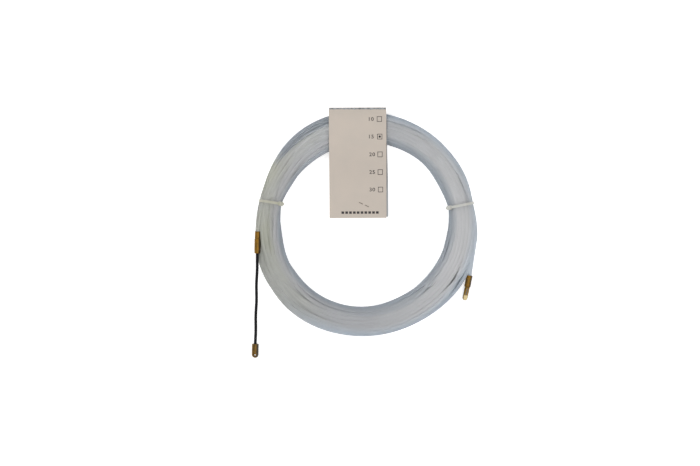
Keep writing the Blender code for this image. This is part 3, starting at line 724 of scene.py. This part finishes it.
def mesh_object(name, points, faces, material, smooth=True):
    mesh = bpy.data.meshes.new(name)
    mesh.from_pydata(points, [], faces)
    mesh.update()
    mesh.materials.append(material)
    if smooth:
        mesh.shade_smooth()
        mesh.set_sharp_from_angle(angle=math.radians(35.0))
    return link(bpy.data.objects.new(name, mesh))


def lathe(name, profile, matrix, material, segments=48, shape=None):
    """A profile of (radius, height) points turned about Z, closed on the axis, then shaped by a function."""
    points = []
    rings = []
    for radius, height in profile:
        if radius < 1e-6:
            rings.append([len(points)])
            points.append(Vector((0.0, 0.0, height)))
            continue
        ring = []
        for index in range(segments):
            turn = 2 * math.pi * index / segments
            reach = radius if shape is None else shape(radius, height, turn)
            ring.append(len(points))
            points.append(Vector((reach * math.cos(turn), reach * math.sin(turn), height)))
        rings.append(ring)
    faces = []
    for upper, lower in zip(rings, rings[1:]):
        for index in range(segments):
            following = (index + 1) % segments
            corners = [upper[index % len(upper)], lower[index % len(lower)]]
            corners += [lower[following % len(lower)], upper[following % len(upper)]]
            faces.append(list(dict.fromkeys(corners)))
    return mesh_object(name, [matrix @ point for point in points], faces, material)


def fine_wall(radius, top, bottom, steps):
    """Points down a straight outer wall, close enough together to be dented."""
    return [(radius, top + (bottom - top) * index / steps) for index in range(steps + 1)]


def dents(outer, rows, depth, width, length):
    """A shape function that presses oval dents in an outer wall, at the given (height, first turn, count)."""

    def shape(radius, height, turn):
        if radius < outer * 0.9:
            return radius
        pressed = 0.0
        for row_height, first, count in rows:
            for index in range(count):
                angle = first + 2 * math.pi * index / count
                around = (turn - angle + math.pi) % (2 * math.pi) - math.pi
                far = (around * outer / width) ** 2 + ((height - row_height) / length) ** 2
                pressed += math.exp(-far)
        return radius - depth * pressed

    return shape


def make_leader_ferrule(brass):
    radius = 0.00315
    start = FRONT_FERRULE_LENGTH + GAP
    length = LEADER_FERRULE_LENGTH - GAP
    stud_bore = STUD_RADIUS + GAP
    leader_bore = LEADER_RADIUS + 0.0001
    round_edge = [(radius - 0.0003, 0.0), (radius - 0.0001, -0.0001), (radius, -0.0003)]
    nose = [(radius - 0.0002, -length + 0.0005), (radius - 0.0006, -length + 0.0001)]
    nose.append((radius - 0.0010, -length))
    profile = [(0.0, -STUD_LENGTH - GAP), (stud_bore, -STUD_LENGTH - GAP), (stud_bore, 0.0), *round_edge]
    profile += fine_wall(radius, -0.0006, -length + 0.0011, 40) + nose
    profile += [(leader_bore, -length), (leader_bore, -length + 0.0063), (0.0, -length + 0.0063)]
    rows = ((-0.0102, 0.9, 3), (-0.0125, 0.35, 3), (-0.0006, 0.8, 1))
    shape = dents(radius, rows, depth=0.00036, width=0.0011, length=0.0009)
    matrix = axis_frame(FRONT_START, FRONT_END, start)
    ferrule = lathe("crimped_leader_ferrule", profile, matrix, brass, shape=shape)
    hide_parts("leader_ferrule")
    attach(ferrule, "leader")


def make_rear_ferrule(brass):
    radius = 0.00320
    length = REAR_FERRULE_LENGTH
    bore = TAPE_RADIUS + 0.0001
    stud_bore = STUD_RADIUS + GAP
    round_edge = [(radius - 0.0005, 0.0), (radius - 0.0002, -0.0001), (radius, -0.0005)]
    nose = [(radius - 0.0001, -length + 0.0003), (radius - 0.0004, -length)]
    profile = [(0.0, -length + 0.0050), (bore, -length + 0.0050), (bore, 0.0), *round_edge]
    profile += fine_wall(radius, -0.0008, -length + 0.0008, 36) + nose
    profile += [(stud_bore, -length), (stud_bore, -length + 0.0038), (0.0, -length + 0.0038)]
    rows = ((-0.0028, 1.25, 3), (-0.0055, 0.75, 3))
    shape = dents(radius, rows, depth=0.00034, width=0.0011, length=0.0010)
    ferrule = lathe("crimped_rear_ferrule", profile, axis_frame(REAR_START, REAR_END), brass, shape=shape)
    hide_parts("rear_ferrule")
    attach(ferrule, "coil")


def leader_line(distance, length, lay_turn, pitch_radius):
    """A point of the leader in its own frame, `distance` down it, off its slightly wavy middle line."""
    share = distance / length
    ends_still = math.sin(math.pi * min(max(share, 0.0), 1.0)) ** 0.5
    sideways = 0.00022
    upward = 0.00012
    wave = sideways * ends_still * math.sin(2 * math.pi * (3.2 * share + 0.1))
    rise = upward * ends_still * math.sin(2 * math.pi * (2.3 * share + 0.4))
    return Vector(
        (wave + pitch_radius * math.cos(lay_turn), rise + pitch_radius * math.sin(lay_turn), -distance)
    )


def make_leader(steel):
    """Six strands laid round a core, each a twisted tube, on a slightly wavy line between the ferrule and the
    tip.
    """
    depth = 0.0060
    start = FRONT_FERRULE_LENGTH + LEADER_FERRULE_LENGTH - depth
    tip_from = (FRONT_END - FRONT_START).length - TIP_LENGTH
    length = tip_from + depth - start
    matrix = axis_frame(FRONT_START, FRONT_END, start)
    strand_radius = 0.00058
    pitch_radius = LEADER_RADIUS - strand_radius
    lay = 0.0098
    strand_count = 6
    steps = 300
    sides = 8
    points = []
    faces = []
    for strand in range(strand_count):
        first = len(points)
        for step in range(steps + 1):
            distance = length * step / steps
            turn = 2 * math.pi * (distance / lay + strand / strand_count)
            centre = leader_line(distance, length, turn, pitch_radius)
            outward = Vector((math.cos(turn), math.sin(turn), 0.0))
            along = Vector((-math.sin(turn), math.cos(turn), -lay / (2 * math.pi * pitch_radius)))
            sideways = outward.cross(along).normalized()
            for side in range(sides):
                angle = 2 * math.pi * side / sides
                offset = outward * math.cos(angle) + sideways * math.sin(angle)
                points.append(matrix @ (centre + offset * strand_radius))
        for step in range(steps):
            for side in range(sides):
                near = first + step * sides
                far = near + sides
                following = (side + 1) % sides
                faces.append([near + side, far + side, far + following, near + following])
        faces.append([first + side for side in range(sides)])
        faces.append([first + steps * sides + side for side in reversed(range(sides))])
    strands = mesh_object("leader_laid_strands", points, faces, steel)
    mesh_faces_outward(strands)
    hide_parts("leader_strands")
    core_points = [(matrix @ leader_line(length * step / 60, length, 0.0, 0.0)) for step in range(61)]
    core = swept_tube("leader_wire_core", core_points, strand_radius, steel)
    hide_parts("leader_core")
    for piece in (strands, core):
        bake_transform(piece)


def mesh_faces_outward(obj):
    solid = bmesh.new()
    solid.from_mesh(obj.data)
    bmesh.ops.recalc_face_normals(solid, faces=solid.faces)
    solid.to_mesh(obj.data)
    solid.free()


def swept_tube(name, line, radius, material, sides=10):
    """A closed tube along a nearly straight line of points."""
    along = (line[-1] - line[0]).normalized()
    side_axis = along.cross(Vector((0.0, 0.0, 1.0))).normalized()
    up_axis = side_axis.cross(along)
    points = []
    for point in line:
        for side in range(sides):
            angle = 2 * math.pi * side / sides
            points.append(point + (side_axis * math.cos(angle) + up_axis * math.sin(angle)) * radius)
    faces = [[side for side in range(sides)]]
    for step in range(len(line) - 1):
        for side in range(sides):
            near = step * sides
            far = near + sides
            following = (side + 1) % sides
            faces.append([near + side, near + following, far + following, far + side])
    last = (len(line) - 1) * sides
    faces.append([last + side for side in reversed(range(sides))])
    obj = mesh_object(name, points, faces, material)
    mesh_faces_outward(obj)
    return obj


# ---------------------------------------------------------------- the tag


def superellipse(middle, half_width, half_height, belly, roundness, turn):
    power = 2 / roundness
    across = math.copysign(abs(math.cos(turn)) ** power, math.cos(turn))
    up = math.copysign(abs(math.sin(turn)) ** power, math.sin(turn))
    return middle + half_width * across, belly + half_height * up


def tag_line():
    """The card's middle line as (y, z), closely spaced: back panel, fold, and front panel to its free end."""
    half_height = (TAG_TOP_HEIGHT - TAG_BACK_HEIGHT) / 2
    reach = TAG_FOLD - CARD / 2 - TAG_FOLD_START
    belly = TAG_BACK_HEIGHT + half_height
    back_end = TAG_FREE_END + 0.0012
    steps = 24
    back = TAG_FOLD_START - back_end
    line = [(back_end + back * index / steps, TAG_BACK_HEIGHT) for index in range(steps + 1)]
    for index in range(1, steps):
        turn = math.pi * (index / steps - 0.5)
        line.append(superellipse(TAG_FOLD_START, reach, half_height, belly, SECTION_ROUNDNESS, turn))
    front_points = 60
    for index in range(front_points + 1):
        y = TAG_FOLD_START + (TAG_FREE_END - TAG_FOLD_START) * index / front_points
        line.append((y, front_height(y)))
    return line


def front_height(y):
    """The height of the front panel's middle line."""
    share = min(max((TAG_SLOPE_TOP - y) / (TAG_SLOPE_TOP - TAG_SLOPE_BOTTOM), 0.0), 1.0)
    fall = 0.5 - 0.5 * math.cos(math.pi * share)
    return TAG_TOP_HEIGHT + (TAG_CLOSED_HEIGHT - TAG_TOP_HEIGHT) * fall


def tag_matrix():
    middle = (TAG_LEFT + TAG_RIGHT) / 2
    return Matrix.Translation(at(middle, 0.0)) @ Matrix.Rotation(math.radians(TAG_TURN), 4, "Z")


def make_tag(card, edge_card):
    """The folded card. Its back panel is folded a little askew, so it shows past the front's right edge."""
    line = tag_line()
    half_width = (TAG_RIGHT - TAG_LEFT) / 2
    columns = 24
    back_skew = 0.0019
    skewed_rows = 30
    matrix = tag_matrix()
    points = []
    for side in (1, -1):
        for index, (y, z) in enumerate(line):
            ahead = line[min(index + 1, len(line) - 1)]
            behind = line[max(index - 1, 0)]
            along = Vector((ahead[0] - behind[0], ahead[1] - behind[1])).normalized()
            offset = Vector((-along.y, along.x)) * CARD / 2 * side
            on_back = max(0.0, 1.0 - index / skewed_rows)
            skew = back_skew * min(on_back * 1.25, 1.0)
            for column in range(columns + 1):
                x = -half_width + 2 * half_width * column / columns
                points.append(matrix @ Vector((x + skew, y + offset.x, z + offset.y)))
    stride = columns + 1
    layer = len(line) * stride
    faces = []
    for row in range(len(line) - 1):
        for column in range(columns):
            a = row * stride + column
            faces.append([a, a + stride, a + stride + 1, a + 1])
            faces.append([layer + a, layer + a + 1, layer + a + stride + 1, layer + a + stride])
    for row in range(len(line) - 1):
        for column in (0, columns):
            a = row * stride + column
            faces.append([a, layer + a, layer + a + stride, a + stride])
    for row in (0, len(line) - 1):
        for column in range(columns):
            a = row * stride + column
            faces.append([a, a + 1, layer + a + 1, layer + a])
    tag = mesh_object("tag_folded_card", points, faces, card)
    mesh_faces_outward(tag)
    tag.data.materials.append(edge_card)
    rim = half_width - 0.00001
    inverse = matrix.inverted()
    for face in tag.data.polygons:
        centre = inverse @ face.center
        on_edge = abs(centre.x) > rim - 0.0001 and abs(face.normal.x) > 0.9
        back_panel = centre.z < TAG_BACK_HEIGHT + CARD and centre.y > TAG_FREE_END
        if on_edge or (back_panel and centre.x > rim - 0.0020):
            face.material_index = 1
    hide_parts("tag_card")
    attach(tag, "tag")


def lay_on_tag(name, flat_mesh, ink):
    """Lays a mesh, flat in the tag's own x and y, on the front panel's face."""
    matrix = tag_matrix()
    step = 0.0001
    for vertex in flat_mesh.vertices:
        x = vertex.co.x
        y = vertex.co.y
        slope = (front_height(y + step) - front_height(y - step)) / (2 * step)
        normal = Vector((0.0, -slope, 1.0)).normalized()
        vertex.co = matrix @ (Vector((x, y, front_height(y))) + normal * (CARD / 2 + INK_HEIGHT))
    flat_mesh.materials.append(ink)
    obj = link(bpy.data.objects.new(name, flat_mesh))
    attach(obj, "tag")


def rectangles(name, boxes):
    """A flat mesh of (left, bottom, right, top) rectangles, each cut in strips across y."""
    points = []
    faces = []
    for left, bottom, right, top in boxes:
        strips = max(1, round((top - bottom) / STRIP))
        for strip in range(strips + 1):
            y = bottom + (top - bottom) * strip / strips
            points += [(left, y, 0.0), (right, y, 0.0)]
            if strip:
                last = len(points) - 1
                faces.append([last - 3, last - 2, last, last - 1])
    mesh = bpy.data.meshes.new(name)
    mesh.from_pydata(points, [], faces)
    return mesh


def number_mesh(text, left, bottom, height):
    """A printed number as a flat mesh."""
    curve = bpy.data.curves.new(f"number_{text}", "FONT")
    curve.body = text
    digit_share = 0.70
    curve.size = height / digit_share
    curve.space_character = 1.12
    curve.offset = 0.00007
    curve.resolution_u = 4
    holder = link(bpy.data.objects.new(f"number_{text}", curve))
    graph = bpy.context.evaluated_depsgraph_get()
    mesh = bpy.data.meshes.new_from_object(holder.evaluated_get(graph))
    bpy.data.objects.remove(holder, do_unlink=True)
    low = min(vertex.co.x for vertex in mesh.vertices)
    base = min(vertex.co.y for vertex in mesh.vertices)
    for vertex in mesh.vertices:
        vertex.co.x = left + NUMBER_STRETCH * (vertex.co.x - low)
        vertex.co.y += bottom - base
    return mesh


def make_print(ink):
    """The length table: a number and a tick box for each length, a tick at 15, and a row of short ruled
    marks.
    """
    middle = (TAG_LEFT + TAG_RIGHT) / 2
    line_width = 0.00055
    box_left = 0.0123
    box_width = 0.0050
    box_height = 0.0054
    number_left = 0.0043
    number_height = 0.0036
    row_drift = 0.00025
    for index, number in enumerate(("10", "15", "20", "25", "30")):
        y = FIRST_ROW - ROW_PITCH * index
        drift = row_drift * index
        start = number_left + 0.4 * drift - middle
        letters = number_mesh(number, start, y - number_height / 2, number_height)
        lay_on_tag(f"printed_{number}", letters, ink)
        left = box_left + drift - middle
        right = left + box_width
        bottom = y - box_height / 2
        top = y + box_height / 2
        sides = (
            (left, bottom, right, bottom + line_width),
            (left, top - line_width, right, top),
            (left, bottom, left + line_width, top),
            (right - line_width, bottom, right, top),
        )
        lay_on_tag(f"printed_box_{number}", rectangles("box", sides), ink)
    tick_x = box_left + row_drift + box_width / 2 - middle
    tick_y = FIRST_ROW - ROW_PITCH
    tick = bpy.data.meshes.new("tick")
    disc = bmesh.new()
    tick_radius = 0.00115
    bmesh.ops.create_circle(disc, cap_ends=True, segments=20, radius=tick_radius)
    bmesh.ops.triangulate(disc, faces=disc.faces)
    bmesh.ops.translate(disc, vec=(tick_x, tick_y, 0.0), verts=disc.verts)
    disc.to_mesh(tick)
    disc.free()
    lay_on_tag("printed_tick", tick, ink)
    marks = []
    mark_count = 10
    mark_left = -0.0235
    mark_pitch = 0.00385
    mark_length = 0.0027
    mark_bottom = 0.0105
    mark_top = 0.0129
    for index in range(mark_count):
        x = mark_left + mark_pitch * index - middle
        marks.append((x, mark_bottom, x + mark_length, mark_top))
    lay_on_tag("printed_scale", rectangles("scale", marks), ink)


# ---------------------------------------------------------------- carried-over CAD nodes


def finish_node(name, material, bevel=0.0):
    """Gives a CAD node its material and, where its edges are moulded or turned, a small rounding."""
    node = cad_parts[name]
    if not node.data.materials:
        node.data.materials.append(material)
    for slot in node.material_slots:
        slot.material = material
    if bevel:
        rounding = node.modifiers.new("Rounded edges", "BEVEL")
        rounding.width = bevel
        rounding.segments = 2
        rounding.limit_method = "ANGLE"
        rounding.angle_limit = math.radians(40.0)


def build():
    make_camera()
    make_stage()
    brass = brass_material("brass", (0.310, 0.160, 0.024), (0.050, 0.036, 0.016), 0.42, shade_from=0.15)
    tip_brass = brass_material("tip_brass", (0.235, 0.135, 0.034), (0.020, 0.018, 0.014), 0.40, 0.6, 0.15)
    rear_brass = brass_material("rear_brass", (0.255, 0.135, 0.024), (0.040, 0.028, 0.012), 0.40, 0.7, 0.15)
    steel = leader_material()
    make_tape()
    make_leader_ferrule(brass)
    make_rear_ferrule(rear_brass)
    make_leader(steel)
    card = card_material()
    edge_card = plain_material("card_edge", (0.400, 0.415, 0.425), 0.8)
    make_tag(card, edge_card)
    make_print(ink_material())
    tie = tie_material()
    finish_node("front_ferrule", brass)
    finish_node("leader_tip", tip_brass)
    finish_node("rear_eye", eye_material())
    finish_node("left_cable_tie", tie)
    finish_node("right_cable_tie", tie)
    finish_node("tag_staple", staple_material())


build()
